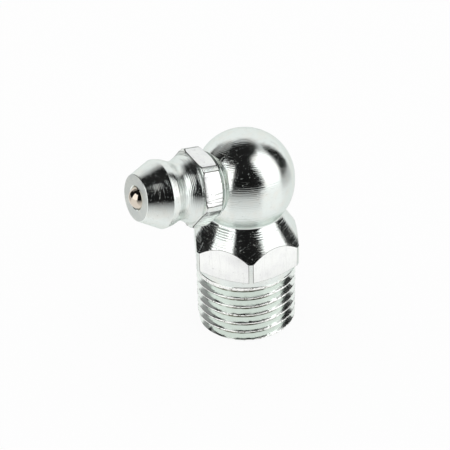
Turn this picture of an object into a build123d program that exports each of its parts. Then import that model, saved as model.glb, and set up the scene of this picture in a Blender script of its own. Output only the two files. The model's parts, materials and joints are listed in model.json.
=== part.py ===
from build123d import *

import os
from math import acos, atan2, cos, degrees, radians, sin, sqrt, tan

# A ball-bodied elbow grease nipple with an M10 x 1 thread, in millimetres.
# The origin is on the thread axis at the end face of the thread. +Z runs up the thread axis,
# and the coupler head points towards -X, a few degrees above the horizontal.

# Threaded shank. The thread is drawn as ring grooves with the true section and pitch.
thread_radius = 5.0
thread_pitch = 1.0
thread_grooves = 6
thread_half_angle = 30.0
first_groove = 0.71  # height of the lowest groove's middle
last_crest = 0.29  # plain stretch above the last groove, at the thread's full radius
end_chamfer = 0.2

# Hexagon for the spanner, with its corners turned down to a circle and a plain collar below
collar_radius = 4.95
collar_length = 0.7
hexagon_flats = 10.0
hexagon_corner_radius = 5.65
hexagon_height = 2.05  # between the two turned chamfers, at the corners
underside_angle = 66.0  # of the lower turned chamfer, from the thread axis
hexagon_turn = 2.0  # of one corner about the thread axis, from under the coupler head

# Shoulder cone and filleted neck between the hexagon and the ball
shoulder_angle = 33.6  # from the thread axis
neck_fillet = 0.3

# Ball that holds the coupler head: two halves with a short land between them, and
# the small flat left at its top by turning
ball_radius = 4.85
ball_rise = 6.09  # from the top of the hexagon's corners to the middle of the lower half
ball_land = 0.4
ball_land_rise = 0.004  # of its middle, out from its two ends
ball_flat_radius = 0.89

# Drillings in the body
supply_bore_radius = 1.75
supply_bore_chamfer = 0.3
drill_point_angle = 118.0

# Axis of the coupler head. Every station below is measured along it from the thread axis.
head_rise = 6.41  # from the top of the hexagon's corners
head_tilt = 8.0  # degrees above the horizontal
spot_face_station = 4.3  # flat cut on the ball, where the coupler head's flange sits
socket_radius = 2.1  # the coupler head's spigot is pressed in here
socket_floor_station = 1.4
spigot_gap = 0.2  # between the spigot's end and the socket's floor
press_interference = 0.01  # the spigot is this much larger than the socket, in radius
spigot_chamfer = 0.15

# Coupler head: flange and groove behind its own hexagon
flange_radius = 3.3
flange_length = 0.12
flange_edge = 0.04
relief_radius = 3.0
relief_length = 0.18

# Coupler head's hexagon
nut_flats = 6.76
nut_corner_radius = 3.76
nut_length = 2.0
nut_back_radius = 3.3  # of the flat ring left on its back face
nut_back_angle = 57.0  # of the turned chamfer behind, from the head's axis
nut_front_chamfer = 0.16
nut_turn = -21.0  # of one corner about the head's axis, from straight up

# Coupler head: waist and grip
waist_start_radius = 3.32  # where the waist's rear cone meets the hexagon's front
waist_rear_angle = 25.8  # of the rear cone, from the head's axis
waist_length = 1.3  # from the hexagon to where the two cones would meet
waist_front_angle = 21.2
waist_fillet = 1.4
grip_radius = 3.25  # largest radius, which a standard grease coupler grips
grip_land = 0.15
grip_back_length = 0.56
grip_back_radius = 3.16
grip_back_fillet = 0.8
grip_edge = 0.07
nose_length = 2.15
nose_radius = 2.2  # of the front face
nose_edge = 0.1

# Check valve
orifice_radius = 1.08
orifice_edge = 0.1
valve_ball_radius = 1.14
valve_ball_proud = 0.61  # how far the ball stands out of the front face
seat_angle = 15.0  # of the seat's cone, from the head's axis
seat_clearance = 0.01
chamber_radius = 1.35
rolled_lip = 0.4  # thickness of the rim rolled in behind the spring
rolled_lip_radius = 0.7

# Valve spring
spring_radius = 0.95  # to the middle of the wire
spring_wire_radius = 0.16
spring_turns = 8
spring_clearance = 0.05  # at each end

os.makedirs("parts", exist_ok=True)

# Heights up the thread axis
thread_depth = 0.6134 * thread_pitch
groove_half_width = 7 / 16 * thread_pitch
groove_half_root = groove_half_width - thread_depth * tan(radians(thread_half_angle))
groove_heights = [first_groove + turn * thread_pitch for turn in range(thread_grooves)]
thread_top = groove_heights[-1] + groove_half_width + last_crest
collar_top = thread_top + collar_length
hexagon_bottom = collar_top + (hexagon_corner_radius - collar_radius) / tan(radians(underside_angle))
hexagon_top = hexagon_bottom + hexagon_height
ball_height = hexagon_top + ball_rise
ball_upper_height = ball_height + ball_land
ball_flat_height = ball_upper_height + sqrt(ball_radius**2 - ball_flat_radius**2)
head_height = hexagon_top + head_rise

# The sharp corner where the shoulder cone would meet the ball, before the neck's fillet:
# the lower point where the cone's side line cuts the ball's circle
shoulder_slope = tan(radians(shoulder_angle))
cone_radius_at_ball = hexagon_corner_radius - shoulder_slope * ball_rise
neck_drop = (
    sqrt(ball_radius**2 * (1 + shoulder_slope**2) - cone_radius_at_ball**2)
    - cone_radius_at_ball * shoulder_slope
) / (1 + shoulder_slope**2)
neck_height = ball_height - neck_drop
neck_corner_radius = cone_radius_at_ball + shoulder_slope * neck_drop

# Stations and sizes along the coupler head's axis
spigot_end = socket_floor_station + spigot_gap
spigot_radius = socket_radius + press_interference
relief_start = spot_face_station + flange_length
nut_back = relief_start + relief_length
nut_front = nut_back + nut_length
nut_back_rise = (nut_corner_radius - nut_back_radius) / tan(radians(nut_back_angle))
waist_station = nut_front + waist_length
waist_radius = waist_start_radius - waist_length * tan(radians(waist_rear_angle))
grip_back_station = waist_station + (grip_back_radius - waist_radius) / tan(radians(waist_front_angle))
grip_land_start = grip_back_station + grip_back_length
grip_edge_station = grip_land_start + grip_land
face_station = grip_edge_station + nose_length
valve_ball_station = face_station + valve_ball_proud - valve_ball_radius

# The seat's cone touches the ball, moved out by the clearance, where its side is square to
# the ball's radius
seat_touch_radius = (valve_ball_radius + seat_clearance) * cos(radians(seat_angle))
seat_touch_station = valve_ball_station + (valve_ball_radius + seat_clearance) * sin(radians(seat_angle))
seat_front = seat_touch_station + (seat_touch_radius - orifice_radius) / tan(radians(seat_angle))
seat_back = seat_touch_station - (chamber_radius - seat_touch_radius) / tan(radians(seat_angle))
chamber_end = spigot_end + rolled_lip

# Planes and axes
head_direction = Vector(-cos(radians(head_tilt)), 0, sin(radians(head_tilt)))
head_up = Vector(sin(radians(head_tilt)), 0, cos(radians(head_tilt)))
head_plane = Plane(origin=(0, 0, head_height), x_dir=head_up, z_dir=head_direction)
head_profile_plane = Plane(
    origin=(0, 0, head_height), x_dir=head_direction, z_dir=head_direction.cross(head_up)
)
head_axis = Axis((0, 0, head_height), head_direction)


# Elbow body: turned from hexagon bar, so the flats are cut from a turned blank
with BuildPart() as elbow_body:
    with BuildSketch(Plane.XZ) as body_profile:
        with BuildLine():
            thread_outline = [(0, 0), (thread_radius - end_chamfer, 0), (thread_radius, end_chamfer)]
            for height in groove_heights:
                thread_outline += [
                    (thread_radius, height - groove_half_width),
                    (thread_radius - thread_depth, height - groove_half_root),
                    (thread_radius - thread_depth, height + groove_half_root),
                    (thread_radius, height + groove_half_width),
                ]
            Polyline(
                *thread_outline,
                (thread_radius, thread_top),
                (collar_radius, thread_top),
                (collar_radius, collar_top),
                (hexagon_corner_radius, hexagon_bottom),
                (hexagon_corner_radius, hexagon_top),
                (neck_corner_radius, neck_height),
            )
            ball_start = -degrees(atan2(neck_drop, neck_corner_radius))
            ball_end = degrees(acos(ball_flat_radius / ball_radius))
            CenterArc((0, ball_height), ball_radius, ball_start, -ball_start)
            ThreePointArc(
                (ball_radius, ball_height),
                (ball_radius + ball_land_rise, (ball_height + ball_upper_height) / 2),
                (ball_radius, ball_upper_height),
            )
            CenterArc((0, ball_upper_height), ball_radius, 0, ball_end)
            Polyline((ball_flat_radius, ball_flat_height), (0, ball_flat_height), (0, 0))
        make_face()
        neck_corner = body_profile.vertices().sort_by_distance((neck_corner_radius, neck_height))[0]
        fillet(neck_corner, radius=neck_fillet)
    revolve(axis=Axis.Z)

    # Spanner flats, with one corner nearly along -X, under the coupler head
    flats_bottom = (thread_top + collar_top) / 2
    with BuildSketch(Plane.XY.offset(flats_bottom)):
        Circle(2 * hexagon_corner_radius)
        RegularPolygon(
            hexagon_flats / 2,
            side_count=6,
            major_radius=False,
            rotation=hexagon_turn,
            mode=Mode.SUBTRACT,
        )
    extrude(amount=neck_height - flats_bottom, mode=Mode.SUBTRACT)

    # Grease drilling up the thread axis
    with BuildSketch(Plane.XZ):
        with BuildLine():
            drill_tip = supply_bore_radius / tan(radians(drill_point_angle / 2))
            Polyline(
                (0, 0),
                (supply_bore_radius + supply_bore_chamfer, 0),
                (supply_bore_radius, supply_bore_chamfer),
                (supply_bore_radius, head_height),
                (0, head_height + drill_tip),
                close=True,
            )
        make_face()
    revolve(axis=Axis.Z, mode=Mode.SUBTRACT)

    # Spot face and socket for the coupler head
    with BuildSketch(head_plane.offset(spot_face_station)):
        Circle(ball_radius)
    extrude(amount=ball_radius, mode=Mode.SUBTRACT)
    with BuildSketch(head_plane.offset(socket_floor_station)):
        Circle(socket_radius)
    extrude(amount=ball_radius, mode=Mode.SUBTRACT)

elbow_body.part.label = "elbow_body"
export_step(elbow_body.part, "parts/elbow_body.step")


# Coupler head: one turned piece with its own small hexagon, drilled for the check valve
with BuildPart() as nipple_head:
    with BuildSketch(head_profile_plane) as head_profile:
        with BuildLine():
            Polyline(
                (spigot_end, 0),
                (spigot_end, spigot_radius - spigot_chamfer),
                (spigot_end + spigot_chamfer, spigot_radius),
                (spot_face_station, spigot_radius),
                (spot_face_station, flange_radius - flange_edge),
                (spot_face_station + flange_edge, flange_radius),
                (relief_start - flange_edge, flange_radius),
                (relief_start, flange_radius - flange_edge),
                (relief_start, relief_radius),
                (nut_back, relief_radius),
                (nut_back, nut_back_radius),
                (nut_back + nut_back_rise, nut_corner_radius),
                (nut_front - nut_front_chamfer, nut_corner_radius),
                (nut_front, nut_corner_radius - nut_front_chamfer),
                (nut_front, waist_start_radius),
                (waist_station, waist_radius),
                (grip_back_station, grip_back_radius),
                (grip_land_start, grip_radius),
                (grip_edge_station, grip_radius),
                (face_station, nose_radius),
                (face_station, 0),
                close=True,
            )
        make_face()
        rounded_corners = {
            (waist_station, waist_radius): waist_fillet,
            (grip_back_station, grip_back_radius): grip_back_fillet,
            (grip_edge_station, grip_radius): grip_edge,
            (face_station, nose_radius): nose_edge,
        }
        for place, size in rounded_corners.items():
            fillet(head_profile.vertices().sort_by_distance(place)[0], radius=size)
    revolve(axis=head_axis)

    # Flats of the small hexagon
    with BuildSketch(head_plane.offset(nut_back)):
        Circle(2 * nut_corner_radius)
        RegularPolygon(
            nut_flats / 2, side_count=6, major_radius=False, rotation=-nut_turn, mode=Mode.SUBTRACT
        )
    extrude(amount=nut_length, mode=Mode.SUBTRACT)

    # Orifice, seat, ball chamber and the hole in the rolled-in rim
    with BuildSketch(head_profile_plane):
        with BuildLine():
            Polyline(
                (face_station, 0),
                (face_station, orifice_radius + orifice_edge),
                (face_station - orifice_edge, orifice_radius),
                (seat_front, orifice_radius),
                (seat_back, chamber_radius),
                (chamber_end, chamber_radius),
                (chamber_end, rolled_lip_radius),
                (spigot_end, rolled_lip_radius),
                (spigot_end, 0),
                close=True,
            )
        make_face()
    revolve(axis=head_axis, mode=Mode.SUBTRACT)

nipple_head.part.label = "nipple_head"
export_step(nipple_head.part, "parts/nipple_head.step")


# Check ball, just clear of its seat
with BuildPart(head_plane.offset(valve_ball_station)) as check_ball:
    Sphere(valve_ball_radius)

check_ball.part.label = "check_ball"
export_step(check_ball.part, "parts/check_ball.step")


# Valve spring, between the rolled-in rim and the ball
spring_start = chamber_end + spring_wire_radius + spring_clearance
ball_and_wire = valve_ball_radius + spring_wire_radius + spring_clearance
spring_end = valve_ball_station - sqrt(ball_and_wire**2 - spring_radius**2)
spring_length = spring_end - spring_start
with BuildPart() as valve_spring:
    with BuildLine():
        wire_path = Helix(
            spring_length / spring_turns,
            spring_length,
            spring_radius,
            center=head_plane.offset(spring_start).origin,
            direction=head_direction,
        )
    with BuildSketch(Plane(origin=wire_path @ 0, z_dir=wire_path % 0)):
        Circle(spring_wire_radius)
    sweep(is_frenet=True)

valve_spring.part.label = "valve_spring"
export_step(valve_spring.part, "parts/valve_spring.step")
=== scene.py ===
import json
import logging
from collections.abc import Callable, Iterable
from dataclasses import dataclass, field
from enum import Enum
from itertools import pairwise
from math import acos, atan2, cos, degrees, hypot, pi, radians, sin, sqrt, tan

import bpy
import numpy as np
from mathutils import Matrix, Vector, noise

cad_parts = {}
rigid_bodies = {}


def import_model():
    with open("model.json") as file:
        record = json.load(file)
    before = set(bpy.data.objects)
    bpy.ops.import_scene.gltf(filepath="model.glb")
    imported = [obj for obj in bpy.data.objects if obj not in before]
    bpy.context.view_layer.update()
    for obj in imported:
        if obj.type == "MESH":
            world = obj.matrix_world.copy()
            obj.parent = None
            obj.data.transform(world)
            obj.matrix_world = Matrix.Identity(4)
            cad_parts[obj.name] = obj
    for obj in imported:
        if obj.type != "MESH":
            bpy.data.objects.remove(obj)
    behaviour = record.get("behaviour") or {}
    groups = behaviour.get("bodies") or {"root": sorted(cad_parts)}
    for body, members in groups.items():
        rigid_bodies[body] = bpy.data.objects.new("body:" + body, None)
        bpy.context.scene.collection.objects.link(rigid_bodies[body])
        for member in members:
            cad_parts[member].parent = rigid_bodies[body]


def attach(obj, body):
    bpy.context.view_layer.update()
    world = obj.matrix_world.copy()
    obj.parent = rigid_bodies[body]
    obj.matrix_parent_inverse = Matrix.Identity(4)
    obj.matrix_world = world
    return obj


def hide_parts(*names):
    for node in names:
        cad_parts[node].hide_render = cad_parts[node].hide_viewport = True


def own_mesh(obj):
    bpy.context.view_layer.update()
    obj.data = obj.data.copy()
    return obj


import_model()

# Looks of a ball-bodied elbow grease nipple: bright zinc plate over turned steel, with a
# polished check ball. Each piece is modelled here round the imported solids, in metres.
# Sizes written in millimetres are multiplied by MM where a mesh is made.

MM = 0.001
WELD = 2e-7  # vertices nearer than this are one
HOLD = 0.02  # mm from an arc's end to the point that holds the shading
HEXAGON = 6  # flats on a spanner hexagon
FLUSH = 0.9999  # cosine of the angle within which two directions are the same

log = logging.getLogger("grease_nipple")
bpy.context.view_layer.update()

Point = tuple[float, float]
Test = Callable[[Vector, Vector], bool]
Socket = bpy.types.NodeSocket


class Shade(Enum):
    """Order of the finishes in a zinc-plated piece's material slots."""

    BALL = 0
    CONE = 1
    COUPLER = 2
    WAIST = 3
    BAR = 4
    NUT = 5
    THREAD = 6
    FACE = 7
    # EDGE: the bevelled edges, painted dark as a painted reflection of the black round the part.
    EDGE = 8


# --------------------------------------------------------------------------- mesh operations


def deselect_all() -> None:
    """Deselect every object."""
    bpy.ops.object.select_all(action="DESELECT")


def work_on(piece: bpy.types.Object) -> None:
    """Make a piece the only selected one, and the active one."""
    deselect_all()
    piece.select_set(True)
    bpy.context.view_layer.objects.active = piece


def edit(piece: bpy.types.Object, mode: str = "FACE") -> None:
    """Open a piece in edit mode.

    Args:
        piece: The piece to edit.
        mode: What is selected in it: VERT, EDGE or FACE.
    """
    work_on(piece)
    bpy.ops.object.mode_set(mode="EDIT")
    bpy.ops.mesh.select_mode(type=mode)


def leave_edit() -> None:
    """Return to object mode."""
    bpy.ops.object.mode_set(mode="OBJECT")


def clear_selection(mesh: bpy.types.Mesh) -> None:
    """Deselect all vertices, edges and faces of a mesh in object mode."""
    for layer in (mesh.vertices, mesh.edges, mesh.polygons):
        layer.foreach_set("select", np.zeros(len(layer), dtype=bool))


def select_faces(piece: bpy.types.Object, test: Test) -> None:
    """Select the faces of a piece that pass a test.

    Args:
        piece: The piece, in object mode.
        test: Takes a face's centre and normal.
    """
    clear_selection(piece.data)
    for face in piece.data.polygons:
        if test(face.center, face.normal):
            face.select = True


def select_edges(piece: bpy.types.Object, test: Test) -> None:
    """Select the edges of a piece whose two ends pass a test.

    Args:
        piece: The piece, in object mode.
        test: Takes the places of the edge's two ends.
    """
    clear_selection(piece.data)
    places = [v.co for v in piece.data.vertices]
    for edge in piece.data.edges:
        if test(places[edge.vertices[0]], places[edge.vertices[1]]):
            edge.select = True


def draw_wire(name: str, outline: Iterable[Point]) -> bpy.types.Object:
    """Draw an outline as a chain of edges in the XZ plane, by extruding one vertex.

    Args:
        name: The new object's name.
        outline: Radius and height of each point, in millimetres.

    Returns:
        The new object, at the origin.
    """
    points = [Vector((radius, 0, height)) * MM for radius, height in outline]
    deselect_all()
    bpy.ops.mesh.primitive_plane_add(size=MM, location=points[0])
    wire = bpy.context.object
    wire.name = name
    bpy.ops.object.mode_set(mode="EDIT")
    bpy.ops.mesh.select_mode(type="VERT")
    bpy.ops.mesh.merge(type="CENTER")
    for start, end in pairwise(points):
        bpy.ops.mesh.extrude_vertices_move(TRANSFORM_OT_translate={"value": end - start})
    leave_edit()
    bpy.ops.object.transform_apply(location=True)
    return wire


def join(first: bpy.types.Object, second: bpy.types.Object) -> None:
    """Join a second object into the first one.

    Args:
        first: The object that stays.
        second: The object whose mesh goes into it.
    """
    work_on(first)
    second.select_set(True)
    bpy.ops.object.join()


def turn_on_lathe(piece: bpy.types.Object, steps: int) -> None:
    """Spin a piece's wires once round the Z axis and weld what meets.

    Args:
        piece: An object of edges in the XZ plane.
        steps: Number of faces round the axis.
    """
    edit(piece, "VERT")
    bpy.ops.mesh.select_all(action="SELECT")
    bpy.ops.mesh.spin(steps=steps, angle=2 * pi, center=(0, 0, 0), axis=(0, 0, 1))
    weld_and_face_out()
    leave_edit()


def weld_and_face_out() -> None:
    """Weld doubled vertices and turn the normals outwards, in edit mode."""
    bpy.ops.mesh.select_all(action="SELECT")
    bpy.ops.mesh.remove_doubles(threshold=WELD)
    bpy.ops.mesh.normals_make_consistent(inside=False)


def soften_edges(piece: bpy.types.Object, test: Test, width: float) -> None:
    """Bevel the edges of a piece that pass a test, and give them the finish EDGE, a painted dark line for
    the black that the edges reflect.

    Args:
        piece: The piece, in object mode.
        test: Takes the places of an edge's two ends.
        width: Width of the bevel's offset, in millimetres.
    """
    select_edges(piece, test)
    edit(piece, "EDGE")
    bpy.ops.mesh.bevel(offset=width * MM, segments=2, affect="EDGES", clamp_overlap=False)
    leave_edit()
    for face in piece.data.polygons:
        if face.select and len(face.vertices) < 2 * HEXAGON:  # not the flat itself
            face.material_index = Shade.EDGE.value


def subtract(piece: bpy.types.Object, cutter: bpy.types.Object) -> None:
    """Cut one solid out of another and delete the cutter.

    Args:
        piece: The solid that is cut.
        cutter: The solid that is taken out of it.
    """
    modifier = piece.modifiers.new("cut", "BOOLEAN")
    modifier.operation = "DIFFERENCE"
    modifier.solver = "EXACT"
    modifier.object = cutter
    work_on(piece)
    bpy.ops.object.modifier_apply(modifier=modifier.name)
    bpy.data.objects.remove(cutter)


def finish_shading(piece: bpy.types.Object, angle: float) -> None:
    """Shade a piece smooth, with its edges above an angle in degrees kept sharp."""
    work_on(piece)
    bpy.ops.object.shade_smooth_by_angle(angle=radians(angle))


def move_vertices(piece: bpy.types.Object, rule: Callable[[np.ndarray], np.ndarray]) -> None:
    """Move all vertices of a piece by a rule on their places.

    Args:
        piece: The piece, in object mode.
        rule: Takes and returns an array of places, one row each, in millimetres.
    """
    places = np.empty(len(piece.data.vertices) * 3)
    piece.data.vertices.foreach_get("co", places)
    moved = rule(places.reshape(-1, 3) / MM) * MM
    piece.data.vertices.foreach_set("co", moved.ravel())
    piece.data.update()


def arc(centre: Point, radius: float, start: float, end: float, steps: int) -> list[Point]:
    """Points along an arc.

    Args:
        centre: The arc's centre.
        radius: The arc's radius.
        start: Angle of the first point, in degrees.
        end: Angle of the last point, in degrees.
        steps: Number of edges.

    Returns:
        The points, first and last included.
    """
    angles = np.radians(np.linspace(start, end, steps + 1))
    return [(centre[0] + radius * cos(a), centre[1] + radius * sin(a)) for a in angles]


def rounded(outline: list[Point], radii: dict[int, float], steps: int = 6) -> list[Point]:
    """Round corners of an outline with tangent arcs.

    Args:
        outline: The outline's corners.
        radii: Fillet radius for each corner to round, by its place in the outline.
        steps: Number of edges in each arc.

    Returns:
        The outline with its arcs.
    """
    made: list[Point] = []
    for place, corner in enumerate(outline):
        if place not in radii:
            made.append(corner)
            continue
        here = Vector(corner)
        back = (Vector(outline[place - 1]) - here).normalized()
        ahead = (Vector(outline[place + 1]) - here).normalized()
        half = acos(max(-1.0, min(1.0, back.dot(ahead)))) / 2
        radius = radii[place]
        middle = here + (back + ahead).normalized() * (radius / sin(half))
        reach = radius / tan(half)
        start = (here + back * reach - middle).normalized()
        end = (here + ahead * reach - middle).normalized()
        # A point just before and after the arc keeps the straight stretches' shading straight.
        made.append(tuple(here + back * (reach + HOLD)))
        for step in range(steps + 1):
            made.append(tuple(middle + start.slerp(end, step / steps) * radius))
        made.append(tuple(here + ahead * (reach + HOLD)))
    return made


def tool_rings(start: Point, end: Point, feed: float, rise: tuple[float, float]) -> list[Point]:
    """Points of the rings that a turning tool leaves along a straight stretch.

    Args:
        start: Where the stretch starts.
        end: Where it ends.
        feed: From one ring to the next, in millimetres.
        rise: Half the rings' height at the start and at the end, in millimetres.

    Returns:
        The points between the two ends, four to a ring.
    """
    first, last = Vector(start), Vector(end)
    run = last - first
    out = Vector((run.y, -run.x)).normalized()
    count = int(run.length / feed) * 4
    points = []
    for step in range(1, count):
        share = step / count
        wave = sin(step * pi / 2) * (rise[0] + (rise[1] - rise[0]) * share)
        points.append(tuple(first + run * share + out * wave))
    return points


@dataclass(frozen=True)
class SpannerFlats:
    """Six spanner flats on a turned piece whose axis is Z, in millimetres and degrees."""

    apothem: float  # from the axis to each flat
    first_normal: float  # direction of the first flat, about Z
    bottom: float
    top: float

    def normals(self) -> list[Vector]:
        """Directions that the flats face."""
        first = radians(self.first_normal)
        angles = [first + turn * 2 * pi / HEXAGON for turn in range(HEXAGON)]
        return [Vector((cos(angle), sin(angle), 0)) for angle in angles]

    def faced_by(self, normal: Vector) -> bool:
        """Whether a face with this normal is one of the flats, and not a turned one."""
        return max(normal.dot(direction) for direction in self.normals()) > FLUSH

    def within(self, place: Vector) -> bool:
        """Whether a place is between the lowest and highest height of the flats."""
        return self.bottom * MM < place.z < self.top * MM

    def cut(self, piece: bpy.types.Object) -> None:
        """Cut the flats into a turned piece, one after the other.

        Args:
            piece: The turned piece, in object mode.
        """
        clear = self.apothem * MM * cos(pi / HEXAGON) * 0.9  # from here in, nothing is cut
        for normal in self.normals():
            select_faces(piece, lambda centre, _: self.within(centre) and centre.dot(normal) > clear)
            edit(piece)
            bpy.ops.mesh.bisect(
                plane_co=normal * self.apothem * MM,
                plane_no=normal,
                use_fill=True,
                clear_outer=True,
                threshold=WELD,
            )
            leave_edit()

    def bound(self, first: Vector, second: Vector) -> bool:
        """Whether an edge is in the plane of one flat.

        Args:
            first: The place of the edge's first end.
            second: The place of its second end.

        Returns:
            True if both ends are in that plane, at the heights of the flats.
        """
        if not (self.within(first) and self.within(second)):
            return False
        level = self.apothem * MM
        return any(
            abs(first.dot(normal) - level) < WELD and abs(second.dot(normal) - level) < WELD
            for normal in self.normals()
        )


class Lathe:
    """A turned outline, and how far along it each point of the surface lies."""

    def __init__(self, outline: list[Point]) -> None:
        """Keep an outline's stretches.

        Args:
            outline: Radius and height of each point, in millimetres.
        """
        ends = np.array(outline)
        self.starts = ends[:-1]
        self.runs = ends[1:] - ends[:-1]
        self.lengths = np.hypot(*self.runs.T)
        self.offsets = np.concatenate([[0], np.cumsum(self.lengths)[:-1]])

    def distance_along(self, radius: np.ndarray, height: np.ndarray) -> np.ndarray:
        """Length of the outline up to the point nearest to each given one.

        Args:
            radius: The given points' distances from the axis, in millimetres.
            height: Their heights.

        Returns:
            The lengths, in millimetres.
        """
        best = np.full(len(radius), np.inf)
        along = np.zeros(len(radius))
        for start, run, length, offset in zip(self.starts, self.runs, self.lengths, self.offsets):
            if length < WELD / MM:
                continue
            share = ((radius - start[0]) * run[0] + (height - start[1]) * run[1]) / length**2
            share = np.clip(share, 0, 1)
            gap = np.hypot(radius - start[0] - share * run[0], height - start[1] - share * run[1])
            nearer = gap < best
            best[nearer] = gap[nearer]
            along[nearer] = (offset + share * length)[nearer]
        return along

    def mark(self, piece: bpy.types.Object) -> None:
        """Store (x, y, length along the outline) on each vertex, as the attribute turning.

        Args:
            piece: The turned piece, with its axis on Z.
        """
        places = np.empty(len(piece.data.vertices) * 3)
        piece.data.vertices.foreach_get("co", places)
        places = places.reshape(-1, 3) / MM
        marks = places.copy()
        marks[:, 2] = self.distance_along(np.hypot(places[:, 0], places[:, 1]), places[:, 2])
        attribute = piece.data.attributes.new("turning", "FLOAT_VECTOR", "POINT")
        attribute.data.foreach_set("vector", marks.astype(np.float32).ravel())


def shade_zones(piece: bpy.types.Object, rule: Callable[[Vector, Vector], Shade]) -> None:
    """Give each face of a piece its finish, apart from the softened edges, which keep their painted dark
    finish.

    Args:
        piece: The piece, in object mode.
        rule: Takes a face's centre and normal, and names its finish.
    """
    for face in piece.data.polygons:
        if face.material_index != Shade.EDGE.value:
            face.material_index = rule(face.center, face.normal).value


# --------------------------------------------------------------------------- finishes


class NodeSheet:
    """Builds one material's nodes."""

    def __init__(self, name: str) -> None:
        """Start a material with nothing in it but its output."""
        self.material = bpy.data.materials.new(name)
        self.material.use_nodes = True
        self.tree = self.material.node_tree
        self.tree.nodes.clear()
        self.output = self.tree.nodes.new("ShaderNodeOutputMaterial")

    def add(self, kind: str, settings: dict | None = None, **sockets: object) -> bpy.types.Node:
        """Add a node.

        Args:
            kind: The node's type, without its ShaderNode prefix.
            settings: The node's own properties.
            sockets: A value or an output socket for each input, by name with _ for a space.

        Returns:
            The new node.
        """
        node = self.tree.nodes.new("ShaderNode" + kind)
        for key, value in (settings or {}).items():
            setattr(node, key, value)
        for key, value in sockets.items():
            self.feed(node, key.replace("_", " "), value)
        return node

    def feed(self, node: bpy.types.Node, key: str | int, value: object) -> None:
        """Set or link one input of a node.

        Args:
            node: The node.
            key: The input's name or number.
            value: What it is set to, or the output socket that is linked to it.
        """
        socket = node.inputs[key]
        if isinstance(value, Socket):
            self.tree.links.new(value, socket)
        else:
            socket.default_value = value

    def feed_all(self, node: bpy.types.Node, values: Iterable[object]) -> None:
        """Set or link a node's inputs, from its first one on."""
        for number, value in enumerate(values):
            self.feed(node, number, value)

    def math(self, operation: str, *values: object) -> Socket:
        """Add a Math node.

        Args:
            operation: What it does.
            values: Its inputs.

        Returns:
            Its result.
        """
        node = self.add("Math", {"operation": operation})
        self.feed_all(node, values)
        return node.outputs[0]

    def vector_math(self, operation: str, *values: object) -> Socket:
        """Add a Vector Math node whose result is a number.

        Args:
            operation: What it does.
            values: Its inputs.

        Returns:
            Its result.
        """
        node = self.add("VectorMath", {"operation": operation})
        self.feed_all(node, values)
        return node.outputs["Value"]

    def place(self) -> Socket:
        """The place of each point of the piece, in millimetres."""
        return self.stretch(self.add("TexCoord").outputs["Object"], (1 / MM,) * 3)

    def from_axis(self, place: Socket) -> Socket:
        """The distance from the Z axis of each place.

        Args:
            place: The places.

        Returns:
            Their distances, in the unit of the places.
        """
        parts = self.add("SeparateXYZ", Vector=place)
        squares = [self.math("MULTIPLY", part, part) for part in parts.outputs[:2]]
        return self.math("SQRT", self.math("ADD", *squares))

    def stretch(self, vector: Socket, scale: tuple, offset: tuple = (0, 0, 0)) -> Socket:
        """Scale a coordinate along each axis and shift it."""
        node = self.add("Mapping", {"vector_type": "POINT"}, Vector=vector, Scale=scale, Location=offset)
        return node.outputs[0]

    def noise(self, vector: Socket, detail: float = 2.0, roughness: float = 0.5) -> Socket:
        """Noise at scale 1 on a coordinate."""
        node = self.add("TexNoise", Vector=vector, Scale=1.0, Detail=detail, Roughness=roughness)
        return node.outputs["Fac"]

    def ramp(
        self, value: Socket, low: float, high: float, to_low: float = 0.0, to_high: float = 1.0
    ) -> Socket:
        """Map a range of a value smoothly to another range, and hold the ends.

        Args:
            value: The value.
            low: Where its range starts.
            high: Where its range ends.
            to_low: What low becomes.
            to_high: What high becomes.

        Returns:
            The mapped value.
        """
        node = self.add("MapRange", {"interpolation_type": "SMOOTHSTEP"})
        self.feed_all(node, (value, low, high, to_low, to_high))
        return node.outputs[0]

    def tint(self, share: Socket, first: tuple | Socket, second: tuple) -> Socket:
        """Mix two colours.

        Args:
            share: How much there is of the second colour, from 0 to 1.
            first: The first colour, as a value or a socket.
            second: The second colour.

        Returns:
            The mixed colour.
        """
        node = self.tree.nodes.new("ShaderNodeMix")
        node.data_type = "RGBA"
        self.feed(node, 0, share)
        self.feed(node, 6, (*first, 1.0) if isinstance(first, tuple) else first)
        self.feed(node, 7, (*second, 1.0))
        return node.outputs[2]

    def blend(self, share: float | Socket, first: float | Socket, second: float | Socket) -> Socket:
        """Mix two values.

        Args:
            share: How much there is of the second value, from 0 to 1.
            first: The first value.
            second: The second value.

        Returns:
            The mixed value.
        """
        node = self.tree.nodes.new("ShaderNodeMix")
        self.feed(node, 0, share)
        self.feed(node, 2, first)
        self.feed(node, 3, second)
        return node.outputs[0]

    def thin_lines(self, vector: Socket, width: float) -> Socket:
        """Thin winding lines where a noise passes its middle: 1 on a line, 0 beside it."""
        off_middle = self.math("ABSOLUTE", self.math("SUBTRACT", self.noise(vector, 1.0), 0.5))
        return self.ramp(off_middle, 0.0, width, 1.0, 0.0)

    def bump(self, height: Socket, distance: float, below: Socket | None = None) -> Socket:
        """Turn a height into a normal.

        Args:
            height: Height, of 0 to 1.
            distance: What a height of 1 stands for, in micrometres.
            below: The normal that this one is laid over.

        Returns:
            The bumped normal.
        """
        node = self.add("Bump", Height=height, Distance=distance * MM * MM, Strength=1.0)
        if below is not None:
            self.feed(node, "Normal", below)
        return node.outputs["Normal"]

    def finish(self, shader: Socket) -> bpy.types.Material:
        """Connect the shader and return the material."""
        self.tree.links.new(shader, self.output.inputs["Surface"])
        return self.material


WHITE = (1.0, 1.0, 1.0, 1.0)
ZINC_EDGE = (0.86, 0.90, 0.88)  # share of its reflection that zinc plate keeps at grazing angles


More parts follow.
